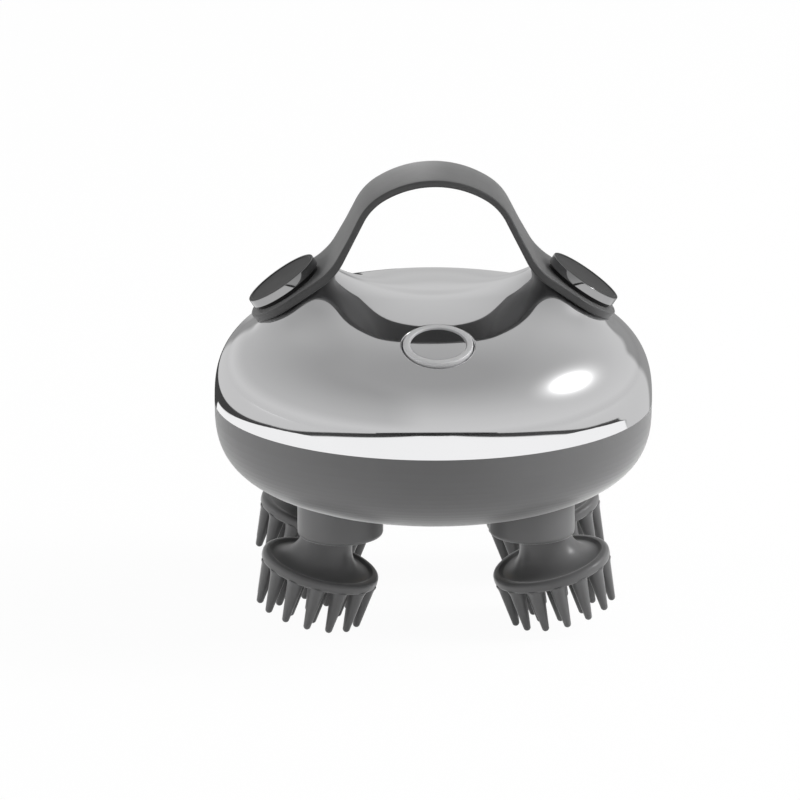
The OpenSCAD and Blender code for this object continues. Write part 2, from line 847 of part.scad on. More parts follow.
module flanged_bush(h) {
    difference() {
        union() {
            cylinder(r = bush_r, h = h);
            cylinder(r = bush_flange_r, h = bush_flange_t);
        }
        translate([0, 0, -1])
            cylinder(r = shaft_r + run_gap, h = h + 2);
    }
}

module upper_bushes() {
    color([0.72, 0.52, 0.3])
        for (corner = corners)
            at_shaft(corner)
                translate([0, 0, plate_z - bush_flange_t])
                    flanged_bush(plate_t + bush_flange_t);
}

module lower_bushes() {
    color([0.72, 0.52, 0.3])
        for (corner = corners)
            at_shaft(corner)
                translate([0, 0, tower_z + bush_flange_t])
                    mirror([0, 0, 1])
                        flanged_bush(lower_bush_h - 0.1 + bush_flange_t);
}

module shaft_seals() {
    color([0.1, 0.1, 0.1])
        for (corner = corners)
            at_shaft(corner)
                translate([0, 0, seal_z])
                    ring(seal_r, shaft_r + run_gap, seal_top - seal_z - slip_gap);
}

module charge_contacts() {
    color([0.85, 0.68, 0.3])
        for (x = [-contact_x, contact_x])
            translate([x, 0, seam_z - case_depth + 0.1]) {
                cylinder(r = contact_r, h = wall + 0.9);
                translate([0, 0, wall + 0.9])
                    cylinder(r = contact_r + 0.8, h = 0.8);
            }
}

module output_gear(corner) {
    at = atan2(corner[1], corner[0]);
    rim_in = sun_m * out_teeth / 2 - 2.8;
    at_shaft(corner)
        translate([0, 0, gear_z])
            difference() {
                union() {
                    linear_extrude(gear_w)
                        polygon(gear_points(sun_m, out_teeth, sun_m, backlash,
                                            mesh_phase(at, out_teeth, sun_teeth) - lean(corner)));
                    cylinder(r = shaft_r + 2, h = plate_z - bush_flange_t - part_gap - gear_z);
                }
                translate([0, 0, -1])
                    cylinder(r = shaft_r, h = 12);
                translate([0, 0, gear_w - 1.2])
                    ring(rim_in, shaft_r + 2, 2);
            }
}

// ---- Heads ----

shaft_end = flange_reach - 0.6;
core_top = neck_top + 0.6;
core_r = neck_r - 1.5;
core_disc_r = flange_r - 3.4;
core_disc_top = flange_reach - 0.7;
core_disc_t = 1;

module bent_shaft(corner) {
    at_shaft(corner)
        translate([0, 0, bend_z])
            cylinder(r = shaft_r, h = plate_top - 0.2 - bend_z);
    on_head(corner) {
        sphere(r = shaft_r + 0.03);
        translate([0, 0, -shaft_end])
            cylinder(r = shaft_r, h = shaft_end);
    }
}

module head_core(corner) {
    on_head(corner)
        difference() {
            union() {
                translate([0, 0, -core_disc_top])
                    cylinder(r = core_r, h = core_disc_top - core_top);
                translate([0, 0, -core_disc_top - core_disc_t])
                    cylinder(r = core_disc_r, h = core_disc_t);
            }
            translate([0, 0, -shaft_end])
                cylinder(r = shaft_r, h = shaft_end);
        }
}

// Silicone head: neck, flare, dished flange and a hollow for its core
module massage_head(corner) {
    rim_top = -(flange_reach - flange_t / 2);
    rim_low = -(flange_reach + flange_t / 2);
    flare_top = -mouth_reach - part_gap;
    dish_r = flange_r - 2;
    dish_z = rim_top - 0.35;
    g = slip_gap;
    on_head(corner) {
        rotate_extrude()
            polygon(concat(
                [[core_r + g, -neck_top], [neck_r - 0.4, -neck_top], [neck_r, -neck_top - 0.4]],
                [for (i = [0 : 10]) let (a = 90 * i / 10)
                    [neck_r + (dish_r - neck_r) * (1 - cos(a)), flare_top + (dish_z - flare_top) * sin(a)]],
                arc(flange_r - 0.9, rim_top - 0.4, 0.6, 120, 90, 3),
                arc(flange_r - 0.9, rim_top - 0.7, 0.9, 90, 0, 5),
                arc(flange_r - 0.6, rim_low + 0.6, 0.6, 0, -90, 4),
                [[0, rim_low], [0, -core_disc_top - core_disc_t - g],
                 [core_disc_r + g, -core_disc_top - core_disc_t - g],
                 [core_disc_r + g, -core_disc_top + g], [core_r + g, -core_disc_top + g]]));
        for (k = [0 : outer_bristles - 1])
            rotate(360 * k / outer_bristles)
                translate([outer_ring_r, 0, rim_low])
                    bristle();
        for (k = [0 : inner_bristles - 1])
            rotate(360 * (k + 0.5) / inner_bristles)
                translate([inner_ring_r, 0, rim_low])
                    bristle();
        translate([0, 0, rim_low])
            bristle();
    }
}

module bristle() {
    sink = 0.3;
    translate([0, 0, -bristle_len + bristle_tip_r])
        cylinder(r1 = bristle_tip_r, r2 = bristle_root_r, h = bristle_len - bristle_tip_r + sink, $fn = 24);
    translate([0, 0, -bristle_len + bristle_tip_r])
        sphere(r = bristle_tip_r, $fn = 24);
}

steel = [0.78, 0.78, 0.8];
nylon = [0.9, 0.9, 0.86];
core_grey = [0.3, 0.3, 0.31];
silicone = [0.35, 0.35, 0.36];
cap_dark = [0.22, 0.22, 0.23];

top_shell();
lower_case();
case_seal();
case_screws();
strap();
color(cap_dark) strap_cap(-1);  // strap_cap_left
color(cap_dark) strap_cap(1);  // strap_cap_right
cap_screws();
button_cap();
button_ring();
button_diaphragm();
switch_plunger();
tact_switch();
control_board();
board_screws();
battery();
battery_tray();
motor_can();
motor_shaft();
motor_pinion();
motor_screws();
gear_plate();
plate_screws();
sun_gear();
gear_axle();
upper_bushes();
lower_bushes();
shaft_seals();
charge_contacts();
color(nylon) output_gear(corners[0]);  // output_gear_front_left
color(nylon) output_gear(corners[1]);  // output_gear_front_right
color(nylon) output_gear(corners[2]);  // output_gear_rear_left
color(nylon) output_gear(corners[3]);  // output_gear_rear_right
color(steel) bent_shaft(corners[0]);  // bent_shaft_front_left
color(steel) bent_shaft(corners[1]);  // bent_shaft_front_right
color(steel) bent_shaft(corners[2]);  // bent_shaft_rear_left
color(steel) bent_shaft(corners[3]);  // bent_shaft_rear_right
color(core_grey) head_core(corners[0]);  // head_core_front_left
color(core_grey) head_core(corners[1]);  // head_core_front_right
color(core_grey) head_core(corners[2]);  // head_core_rear_left
color(core_grey) head_core(corners[3]);  // head_core_rear_right
color(silicone) massage_head(corners[0]);  // massage_head_front_left
color(silicone) massage_head(corners[1]);  // massage_head_front_right
color(silicone) massage_head(corners[2]);  // massage_head_rear_left
color(silicone) massage_head(corners[3]);  // massage_head_rear_right
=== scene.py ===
import json
import math

import bmesh
import bpy
import numpy as np
from mathutils import Matrix, Vector


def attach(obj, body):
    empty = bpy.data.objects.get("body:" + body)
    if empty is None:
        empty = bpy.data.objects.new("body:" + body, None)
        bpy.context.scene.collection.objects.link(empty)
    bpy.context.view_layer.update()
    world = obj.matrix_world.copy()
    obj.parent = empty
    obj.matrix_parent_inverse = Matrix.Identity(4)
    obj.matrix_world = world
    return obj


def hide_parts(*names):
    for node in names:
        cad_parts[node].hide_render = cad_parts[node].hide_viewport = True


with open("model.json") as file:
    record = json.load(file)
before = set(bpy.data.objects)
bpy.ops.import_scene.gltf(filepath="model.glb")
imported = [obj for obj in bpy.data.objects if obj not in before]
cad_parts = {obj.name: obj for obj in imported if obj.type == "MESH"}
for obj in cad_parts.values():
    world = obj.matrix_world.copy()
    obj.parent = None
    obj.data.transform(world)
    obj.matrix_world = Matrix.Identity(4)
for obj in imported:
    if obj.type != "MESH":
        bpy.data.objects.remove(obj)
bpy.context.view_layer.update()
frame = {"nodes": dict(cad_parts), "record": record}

# ---- Sizes, in millimetres, as in the part's source ----
MM = 0.001
BODY_R = 45.0
DOME_H, DOME_N = 23.2, 2.72
WALL = 2.2
SEAT_X, SEAT_RISE, SEAT_R = 28.8, 2.0, 10.0
SEAT_TILT = math.radians(34.5)
# how the seats run into the dome: their growth with depth, and the sizes of the blends
SEAT_FLARE, SEAT_WALL, SEAT_END = 1.43, 1.5, 0.45
END_BLEND, RIM_BLEND, SIDE_BLEND, INNER_BLEND, FRONT_BLEND = 3.0, 1.6, 2.0, 7.0, 2.5
INNER_FROM, BLEND_RUN = 2.0, 10.0
STRAP_T, STRAP_W, STRAP_RISE, STRAP_LOW = 1.7, 17.6, 48.6, 0.1
PAD_R, PAD_REACH, PAD_HOLE_R = 10.3, 9.2, 3.0
CAP_R, CAP_TOP, CAP_NECK_R, CAP_LOW = 7.9, 4.4, 7.4, 2.6
HEAD_TILT, LEAN_TURN = math.radians(15), math.radians(15)
BEND_DROP, FLANGE_REACH, FLANGE_T, FLANGE_R = 14.1, 16.5, 2.1, 12.2
BRISTLE_LEN, ROOT_R, TIP_R = 9.2, 1.75, 0.75
OUTER_RING = FLANGE_R - ROOT_R - 0.05
INNER_RING = OUTER_RING * 0.6
OUTER_COUNT, INNER_COUNT = 14, 8
TIP_REACH = FLANGE_REACH + FLANGE_T / 2 + BRISTLE_LEN
SEAM = (BEND_DROP + (TIP_REACH - TIP_R) * math.cos(HEAD_TILT)
        + OUTER_RING * math.sin(HEAD_TILT) + TIP_R)
HEAD_OUT = 0.6133
HEAD_XY = HEAD_OUT * BODY_R / math.sqrt(2)
COLLAR_R, COLLAR_WALL, COLLAR_DROP = 8.75, 0.75, 23.1
CORNERS = {"front_left": (-1, -1), "front_right": (1, -1),
           "rear_left": (-1, 1), "rear_right": (1, 1)}
BUTTON_Y, BUTTON_R, RING_W, BORE_R = 30.2, 7.05, 1.3, 7.3
BUTTON_FLANGE, DIAPHRAGM_LOW = 4.9, 6.25
# the view: millimetres to the object and picture points to a millimetre
VIEW_AWAY, VIEW_SCALE, VIEW_POINTS = 1300, 4.858, 800


def dome_z(r):
    return DOME_H * (1 - (r / BODY_R) ** DOME_N) ** (1 / DOME_N)


SEAT_H = dome_z(SEAT_X) + SEAT_RISE
BUTTON_SLOPE = math.atan(DOME_H / BODY_R * (BUTTON_Y / BODY_R) ** (DOME_N - 1)
                         / (dome_z(BUTTON_Y) / DOME_H) ** (DOME_N - 1))


# ---- Places ----

def shift(x, y, z):
    return Matrix.Translation(Vector((x, y, z)))


def turn(angle, axis):
    return Matrix.Rotation(angle, 4, axis)


def seat_place(side):
    return shift(side * SEAT_X, 0, SEAM + SEAT_H) @ turn(side * SEAT_TILT, "Y")


def head_place(corner):
    sx, sy = CORNERS[corner]
    return (shift(sx * HEAD_XY, sy * HEAD_XY, SEAM - BEND_DROP)
            @ turn(-LEAN_TURN if sx < 0 else math.pi + LEAN_TURN, "Z") @ turn(HEAD_TILT, "Y"))


BUTTON_PLACE = shift(0, -BUTTON_Y, SEAM + dome_z(BUTTON_Y)) @ turn(BUTTON_SLOPE, "X")


def moved(points, place):
    m = np.array(place)
    return np.asarray(points, float) @ m[:3, :3].T + m[:3, 3]


# ---- Mesh helpers ----

class Build:
    """Collects points and faces of one piece, in millimetres."""

    def __init__(self):
        self.points, self.faces, self.finish = [], [], []

    def grid(self, rows, finishes=None):
        """Closed rows of points joined by faces; a row of one point is a pole."""
        starts = []
        for row in rows:
            starts.append((len(self.points), len(row)))
            self.points.extend(np.asarray(row, float).tolist())
        for i in range(len(rows) - 1):
            (a, na), (b, nb) = starts[i], starts[i + 1]
            count = max(na, nb)
            for j in range(count):
                k = (j + 1) % count
                if na == 1:
                    face = (a, b + j, b + k)
                elif nb == 1:
                    face = (a + j, b, a + k)
                else:
                    face = (a + j, b + j, b + k, a + k)
                self.faces.append(face)
                self.finish.append(finishes[i] if finishes else 0)

    def lathe(self, profile, count, place, finishes=None):
        """A profile of (radius, height) turned about Z, then put in its place."""
        angles = np.arange(count) * 2 * math.pi / count
        rows = []
        for r, z in profile:
            if r < 1e-9:
                row = np.array([[0, 0, z]])
            else:
                row = np.stack([r * np.cos(angles), r * np.sin(angles), np.full(count, z)], 1)
            rows.append(moved(row, place))
        self.grid(rows, finishes)

    def piece(self, name, body, nodes, materials, sharp):
        mesh = bpy.data.meshes.new(name)
        mesh.from_pydata((np.asarray(self.points) * MM).tolist(), [], self.faces)
        mesh.polygons.foreach_set("material_index", self.finish)
        return finished(mesh, name, body, nodes, materials, sharp)


def finished(mesh, name, body, nodes, materials, sharp):
    """Closes, smooths and names a mesh, and puts it on its body."""
    bm = bmesh.new()
    bm.from_mesh(mesh)
    bmesh.ops.remove_doubles(bm, verts=bm.verts, dist=2e-6)
    bmesh.ops.recalc_face_normals(bm, faces=bm.faces)
    bm.to_mesh(mesh)
    bm.free()
    mesh.shade_smooth()
    mesh.set_sharp_from_angle(angle=math.radians(sharp))
    for material in materials:
        mesh.materials.append(material)
    obj = bpy.data.objects.new(name, mesh)
    bpy.context.scene.collection.objects.link(obj)
    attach(obj, body)
    if nodes:
        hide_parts(*nodes)
    return obj


def rounded(points, radii, steps=5):
    """A profile whose corners are rounded, each with its own radius; none at its ends."""
    out = []
    for i, p in enumerate(points):
        p = np.array(p, float)
        r = radii[i]
        if r == 0:
            out.append(tuple(p))
            continue
        a, b = np.array(points[i - 1], float), np.array(points[i + 1], float)
        u, v = (a - p) / np.linalg.norm(a - p), (b - p) / np.linalg.norm(b - p)
        half = math.acos(max(-1, min(1, float(u @ v)))) / 2
        back = r / math.tan(half)
        centre = p + (u + v) / np.linalg.norm(u + v) * r / math.sin(half)
        s, e = p + u * back - centre, p + v * back - centre
        total = math.acos(max(-1, min(1, float(s @ e) / r / r)))
        for k in range(steps + 1):
            t = k / steps
            w = (math.sin((1 - t) * total) * s + math.sin(t * total) * e) / math.sin(total)
            out.append(tuple(centre + w))
    return out


# ---- Shader helpers ----

class Nodes:
    """A node tree with short calls for adding and joining nodes."""

    def __init__(self, tree):
        self.tree = tree

    def add(self, kind, values=None, **settings):
        node = self.tree.nodes.new(kind)
        for key, value in settings.items():
            setattr(node, key, value)
        for key, value in (values or {}).items():
            self.feed(node, key, value)
        return node

    def feed(self, node, key, value):
        socket = node.inputs[key]
        if isinstance(value, bpy.types.NodeSocket):
            self.tree.links.new(value, socket)
        else:
            socket.default_value = value

    def math(self, kind, a, b=0.0, c=0.0):
        return self.add("ShaderNodeMath", {0: a, 1: b, 2: c}, operation=kind).outputs[0]

    def spread(self, value, low, high, to_low=0.0, to_high=1.0, smooth=False):
        node = self.add("ShaderNodeMapRange", {"Value": value, "From Min": low, "From Max": high,
                                               "To Min": to_low, "To Max": to_high})
        if smooth:
            node.interpolation_type = "SMOOTHSTEP"
        return node.outputs["Result"]

    def scaled(self, vector, gain):
        node = self.add("ShaderNodeVectorMath", {0: vector, "Scale": gain}, operation="SCALE")
        return node.outputs[0]

    def dot(self, a, b):
        node = self.add("ShaderNodeVectorMath", {0: a, 1: b}, operation="DOT_PRODUCT")
        return node.outputs["Value"]

    def mixed(self, share, a, b):
        node = self.add("ShaderNodeMix", data_type="RGBA")
        for key, value in ((0, share), (6, a), (7, b)):
            self.feed(node, key, value)
        return node.outputs[2]


def new_group(name, inputs, outputs):
    """A shader node group with named inputs and outputs."""
    tree = bpy.data.node_groups.new(name, "ShaderNodeTree")
    for label, kind, value in inputs:
        socket = tree.interface.new_socket(label, in_out="INPUT", socket_type=kind)
        socket.default_value = value
    for label, kind in outputs:
        tree.interface.new_socket(label, in_out="OUTPUT", socket_type=kind)
    n = Nodes(tree)
    start = n.add("NodeGroupInput")
    end = n.add("NodeGroupOutput")
    return tree, n, start.outputs, end


FLOAT, COLOUR, VECTOR = "NodeSocketFloat", "NodeSocketColor", "NodeSocketVector"


def tone_drift_group():
    """Soft drift of a colour and its roughness over the surface."""
    tree, n, given, end = new_group(
        "tone drift",
        [("Color", COLOUR, (0.5, 0.5, 0.5, 1)), ("Roughness", FLOAT, 0.5), ("Scale", FLOAT, 120.0),
         ("Color Drift", FLOAT, 0.05), ("Roughness Drift", FLOAT, 0.05)],
        [("Color", COLOUR), ("Roughness", FLOAT)])
    where = n.add("ShaderNodeTexCoord").outputs["Object"]
    noise = n.add("ShaderNodeTexNoise", {"Vector": where, "Scale": given["Scale"], "Detail": 3.0})
    swing = n.spread(noise.outputs["Fac"], 0.25, 0.75, -1.0, 1.0)
    gain = n.math("MULTIPLY_ADD", swing, given["Color Drift"], 1.0)
    rough = n.math("MULTIPLY_ADD", swing, given["Roughness Drift"], given["Roughness"])
    n.feed(end, "Color", n.scaled(given["Color"], gain))
    n.feed(end, "Roughness", rough)
    return tree


def fine_grain_group():
    """Fine moulded grain as a bump."""
    tree, n, given, end = new_group(
        "fine grain", [("Scale", FLOAT, 2500.0), ("Depth", FLOAT, 0.00002)], [("Normal", VECTOR)])
    where = n.add("ShaderNodeTexCoord").outputs["Object"]
    noise = n.add("ShaderNodeTexNoise", {"Vector": where, "Scale": given["Scale"], "Detail": 2.0})
    bump = n.add("ShaderNodeBump", {"Strength": 1.0, "Distance": given["Depth"],
                                    "Height": noise.outputs["Fac"]})
    n.feed(end, "Normal", bump.outputs["Normal"])
    return tree


def lathe_marks_group():
    """Fine rings that a lathe leaves round a metal piece."""
    tree, n, given, end = new_group(
        "lathe marks", [("Scale", FLOAT, 2500.0), ("Depth", FLOAT, 0.000004)], [("Normal", VECTOR)])
    where = n.add("ShaderNodeTexCoord").outputs["Object"]
    wave = n.add("ShaderNodeTexWave", {"Vector": where, "Scale": given["Scale"], "Distortion": 1.5,
                                       "Detail": 2.0}, bands_direction="Z")
    bump = n.add("ShaderNodeBump", {"Strength": 1.0, "Distance": given["Depth"],
                                    "Height": wave.outputs["Fac"]})
    n.feed(end, "Normal", bump.outputs["Normal"])
    return tree


DRIFT, GRAIN, LATHE = tone_drift_group(), fine_grain_group(), lathe_marks_group()


def material(name, colour, rough, metallic=0.0, drift=(120.0, 0.05, 0.04), grain=None, lathe=None,
             **plain):
    """A finish: drifting colour and roughness, with moulded grain or lathe marks."""
    mat = bpy.data.materials.new(name)
    mat.use_nodes = True
    mat.node_tree.nodes.clear()
    n = Nodes(mat.node_tree)
    tone = n.add("ShaderNodeGroup", node_tree=DRIFT)
    n.feed(tone, "Color", (*colour, 1))
    labels = ("Roughness", "Scale", "Color Drift", "Roughness Drift")
    for key, value in zip(labels, (rough, *drift)):
        n.feed(tone, key, value)
    shader = n.add("ShaderNodeBsdfPrincipled", {"Base Color": tone.outputs["Color"],
                                                "Roughness": tone.outputs["Roughness"],
                                                "Metallic": metallic})
    for key, value in plain.items():
        n.feed(shader, key.replace("_", " "), value)
    marks = (GRAIN, grain) if grain else (LATHE, lathe) if lathe else None
    if marks:
        bump = n.add("ShaderNodeGroup", node_tree=marks[0])
        n.feed(bump, "Scale", marks[1][0])
        n.feed(bump, "Depth", marks[1][1])
        n.feed(shader, "Normal", bump.outputs["Normal"])
    out = n.add("ShaderNodeOutputMaterial")
    n.feed(out, "Surface", shader.outputs["BSDF"])
    return mat


def grey(v):
    return (v, v, v * 1.01)


PLATED = material("plated shell", grey(0.86), 0.045, 1.0, drift=(60.0, 0.012, 0.012),
                  grain=(130.0, 0.0000015))
SATIN_CASE = material("satin case", grey(0.117), 0.42, drift=(90.0, 0.04, 0.04),
                      grain=(3200.0, 0.000012), Sheen_Weight=0.6, Sheen_Roughness=0.3)
STRAP_RUBBER = material("strap silicone", grey(0.052), 0.4, drift=(110.0, 0.05, 0.05),
                        grain=(2600.0, 0.000018), Sheen_Weight=0.32, Sheen_Roughness=0.35)
HEAD_RUBBER = material("head silicone", grey(0.1), 0.33, drift=(160.0, 0.06, 0.05),
                       grain=(2600.0, 0.000012), Sheen_Weight=0.5, Sheen_Roughness=0.3)
CAP_EDGE = material("dark plated edge", grey(0.36), 0.06, 1.0, drift=(200.0, 0.04, 0.02))
CAP_FACE = material("dark cap face", grey(0.022), 0.3, drift=(160.0, 0.06, 0.04),
                    grain=(1800.0, 0.000004), Specular_IOR_Level=0.12)
SATIN_RING = material("satin silver ring", grey(0.56), 0.5, 0.3, drift=(300.0, 0.02, 0.04))
FINISHES = {
    "plated_shell": PLATED, "case_satin": SATIN_CASE, "silicone": STRAP_RUBBER,
    "head_silicone": HEAD_RUBBER, "dark_gloss": CAP_FACE, "bright_trim": SATIN_RING,
    "black_rubber": material("black rubber", grey(0.02), 0.6, grain=(1500.0, 0.00002)),
    "black_plastic": material("black plastic", grey(0.03), 0.45, grain=(2200.0, 0.000015)),
    "core_plastic": material("dark grey plastic", grey(0.07), 0.5, grain=(2200.0, 0.000015)),
    "steel": material("bright steel", (0.56, 0.56, 0.58), 0.26, 1.0, drift=(300.0, 0.04, 0.06),
                      lathe=(1500.0, 0.000004)),
    "brass": material("turned brass", (0.78, 0.58, 0.27), 0.25, 1.0, drift=(300.0, 0.05, 0.06),
                      lathe=(1800.0, 0.000004)),
    "bronze": material("sintered bronze", (0.55, 0.34, 0.17), 0.42, 1.0,
                       drift=(900.0, 0.12, 0.08), grain=(4000.0, 0.00003)),
    "nylon": material("gear nylon", (0.78, 0.77, 0.71), 0.38, drift=(150.0, 0.03, 0.05),
                      grain=(1800.0, 0.00001)),
    "board_green": material("solder mask", (0.012, 0.13, 0.06), 0.3, drift=(400.0, 0.15, 0.06),
                            grain=(900.0, 0.00002)),
    "battery_wrap": material("battery film", (0.05, 0.16, 0.38), 0.22, drift=(90.0, 0.06, 0.05),
                             grain=(260.0, 0.00004)),
    "gold_contact": material("gold plating", (0.9, 0.66, 0.3), 0.2, 1.0, drift=(500.0, 0.04, 0.05),
                             lathe=(2600.0, 0.000003)),
}
for part in frame["record"]["subparts"]:
    obj = frame["nodes"][part["node"]]
    obj.data.materials.clear()
    obj.data.materials.append(FINISHES[part["material_slot"]])


# ---- Top shell ----

def soft_min(a, b, k):
    h = np.maximum(k - np.abs(a - b), 0) / k
    return np.minimum(a, b) - h ** 3 * k / 6


def eased(share):
    share = np.clip(share, 0, 1)
    return share * share * (3 - 2 * share)


def shell_field(p):
    """Below zero inside the plated shell's outer form; heights count from the seam."""
    r = np.hypot(p[:, 0], p[:, 1])
    g = (r / BODY_R) ** DOME_N + (np.abs(p[:, 2]) / DOME_H) ** DOME_N
    size = np.sqrt(r * r + p[:, 2] ** 2)
    field = size * (1 - np.maximum(g, 1e-9) ** (-1 / DOME_N))
    for side in (-1, 1):
        up = np.array([side * math.sin(SEAT_TILT), 0, math.cos(SEAT_TILT)])
        down = np.array([side * math.cos(SEAT_TILT), 0, -math.sin(SEAT_TILT)])
        q = p - np.array([side * SEAT_X, 0, SEAT_H])
        high, out = q @ up, q @ down
        # the seat widens downwards to its sides, and runs into the dome at its outer end
        deep = np.maximum(-high, 0)
        wall = (np.hypot(out - deep, q[:, 1]) - (SEAT_R + SEAT_FLARE * deep)) / SEAT_WALL
        end = np.hypot(np.maximum(out, 0), SEAT_END * q[:, 1]) - (SEAT_R - 1)
        wall = -soft_min(-wall, -end, END_BLEND)
        seat = -soft_min(-wall, -high, RIM_BLEND)
        # the blend is widest towards the crown and wide towards the front
        inward, front = eased((INNER_FROM - out) / BLEND_RUN), eased(-q[:, 1] / BLEND_RUN)
        field = soft_min(field, seat, SIDE_BLEND + INNER_BLEND * inward + FRONT_BLEND * front)
    return field


def hollow_field(p):
    """Below zero inside the plated shell's hollow; heights count from the seam."""
    r = np.hypot(p[:, 0], p[:, 1])
    return ((r / (BODY_R - WALL)) ** DOME_N
            + (np.abs(p[:, 2]) / (DOME_H - WALL)) ** DOME_N - 1)


def onto(field, points, steps):
    """Moves points straight onto a field's zero surface."""
    reach, most = 1e-3, 1.5
    for _ in range(steps):
        f = field(points)
        slope = np.stack([(field(points + reach * e) - f) / reach for e in np.eye(3)], 1)
        step = np.clip(f / np.maximum((slope ** 2).sum(1), 0.05), -most, most)
        points = points - step[:, None] * slope
    return points


def struck(field, start, way, low, high):
    """The last place inside a field on each line, between two distances from its start."""
    start, way = np.broadcast_arrays(start, way)
    low, high = np.full(len(way), low), np.full(len(way), high)
    for _ in range(44):
        mid = (low + high) / 2
        inside = field(start + mid[:, None] * way) < 0
        low, high = np.where(inside, mid, low), np.where(inside, high, mid)
    return start + low[:, None] * way


def plated_shell():
    """One closed sheet: from the button's bore over the dome to the seam, and back inside."""
    cols, outer_rows, inner_rows = 360, 170, 24
    rounds, pull = 80, 0.6
    drop, nearest, farthest = 8.0, 5.0, 90.0
    edge, edge_steps, lip, land = 0.3, 5, 0.9, 4.0
    boss_r, boss_low, land_r = BORE_R + 2.6, 2.4, BORE_R + 1.5
    tongue_out, tongue_in, tongue_low, tongue_top = 42.55, 41.25, -2.2, 1.5
    ring = np.arange(cols) * 2 * math.pi / cols
    eye = np.array([0, 0, -20.0])
    place = BUTTON_PLACE.copy()
    place.translation.z -= SEAM
    up = np.array(place)[:3, 2]

    def level_ring(r, z):
        return np.stack([r * np.cos(ring), r * np.sin(ring), np.full(cols, z)], 1)

    def button_ring(r, deep):
        return moved(level_ring(r, -deep), place)

    def sheet(field, first, last, count):
        """Rows on a field from a ring round the button to a level ring."""
        first = struck(field, first, up, -drop, drop)
        a, b = first - eye, last - eye
        a /= np.linalg.norm(a, axis=1)[:, None]
        b /= np.linalg.norm(b, axis=1)[:, None]
        arc = np.arccos(np.clip((a * b).sum(1), -1, 1))[:, None]
        ways = [(np.sin((1 - t) * arc) * a + np.sin(t * arc) * b) / np.sin(arc)
                for t in np.arange(count + 1) / count]
        rows = struck(field, eye, np.concatenate(ways), nearest, farthest)
        rows = rows.reshape(count + 1, cols, 3)
        rows[0], rows[-1] = first, last
        return rows

    def relaxed(p, field):
        """Evens out the spacing of the rows along the field."""
        for _ in range(rounds):
            mid = (p[:-2] + p[2:] + np.roll(p, 1, 1)[1:-1] + np.roll(p, -1, 1)[1:-1]) / 4
            flat = p[1:-1] + pull * (mid - p[1:-1])
            p[1:-1] = onto(field, flat.reshape(-1, 3), 1).reshape(flat.shape)
        p[1:-1] = onto(field, p[1:-1].reshape(-1, 3), 3).reshape(p[1:-1].shape)
        p[..., :2] *= np.minimum(1, BODY_R / np.hypot(p[..., 0], p[..., 1]))[..., None]
        return p

    mouth = button_ring(BORE_R + edge, 0)
    outer = relaxed(sheet(shell_field, mouth, level_ring(BODY_R, 0), outer_rows), shell_field)
    meet = (BODY_R - WALL) * (1 - (tongue_top / (DOME_H - WALL)) ** DOME_N) ** (1 / DOME_N)
    inner = sheet(hollow_field, button_ring(boss_r, boss_low), level_ring(meet, tongue_top),
                  inner_rows)
    rows = [inner[0], button_ring(boss_r, DIAPHRAGM_LOW), button_ring(land_r, DIAPHRAGM_LOW),
            button_ring(land_r, land), button_ring(BORE_R, land),
            outer[0] - (lip * up) + (button_ring(BORE_R, 0) - mouth)]
    for k in range(edge_steps):
        a = k / edge_steps * math.pi / 2
        wider = button_ring(BORE_R + edge * (1 - math.cos(a)), 0)
        rows.append(outer[0] - up * edge * (1 - math.sin(a)) + (wider - mouth))
    rows.extend(outer)
    rows += [level_ring(r, z) for r, z in ((tongue_out, 0), (tongue_out, tongue_low),
                                           (tongue_in, tongue_low), (tongue_in, tongue_top))]
    rows.extend(inner[::-1])
    build = Build()
    build.grid([row + np.array([0, 0, SEAM]) for row in rows])
    build.piece("plated_shell", "housing", ["top_shell"], [PLATED], 40)


plated_shell()


# ---- Strap ----

def away(angle):
    return np.array([math.sin(angle), math.cos(angle)])


def onward(angle):
    return np.array([math.cos(angle), -math.sin(angle)])


def strap_path():
    """The strap's centre line by the distance from its top, and that of its pads' middles."""
    crown_r, shoulder_r, foot_r = 20.8, 11.6, 12.5
    crown, leg, seat = math.radians(32), math.radians(63), SEAT_TILT
    centre = np.array([0, SEAM + STRAP_RISE - STRAP_T / 2 - crown_r])
    crown_end = centre + crown_r * away(crown)
    shoulder_c = crown_end - shoulder_r * away(crown)
    shoulder_end = shoulder_c + shoulder_r * away(leg)
    pad = np.array([SEAT_X, SEAM + SEAT_H]) + (STRAP_LOW + STRAP_T / 2) * away(seat)
    free = pad - shoulder_end - foot_r * (away(leg) - away(seat))
    leg_len = (free * away(seat)).sum() / (onward(leg) * away(seat)).sum()
    leg_end = shoulder_end + leg_len * onward(leg)
    foot_c = leg_end + foot_r * away(leg)
    foot_end = foot_c - foot_r * away(seat)
    marks = np.cumsum([0, crown_r * crown, shoulder_r * (leg - crown), leg_len,
                       foot_r * (leg - seat)])
    pad_at = marks[-1] + np.linalg.norm(pad - foot_end)

    def at(s):
        """The place and the outward direction at a distance, negative on the left."""
        a = abs(s)
        if a <= marks[1]:
            angle = a / crown_r
            p = centre + crown_r * away(angle)
        elif a <= marks[2]:
            angle = crown + (a - marks[1]) / shoulder_r
            p = shoulder_c + shoulder_r * away(angle)
        elif a <= marks[3]:
            angle = leg
            p = shoulder_end + (a - marks[2]) * onward(angle)
        elif a <= marks[4]:
            angle = leg - (a - marks[3]) / foot_r
            p = foot_c - foot_r * away(angle)
        else:
            angle = seat
            p = foot_end + (a - marks[4]) * onward(angle)
        sign = -1 if s < 0 else 1
        return (sign * p[0], p[1]), (sign * math.sin(angle), math.cos(angle))

    return at, pad_at


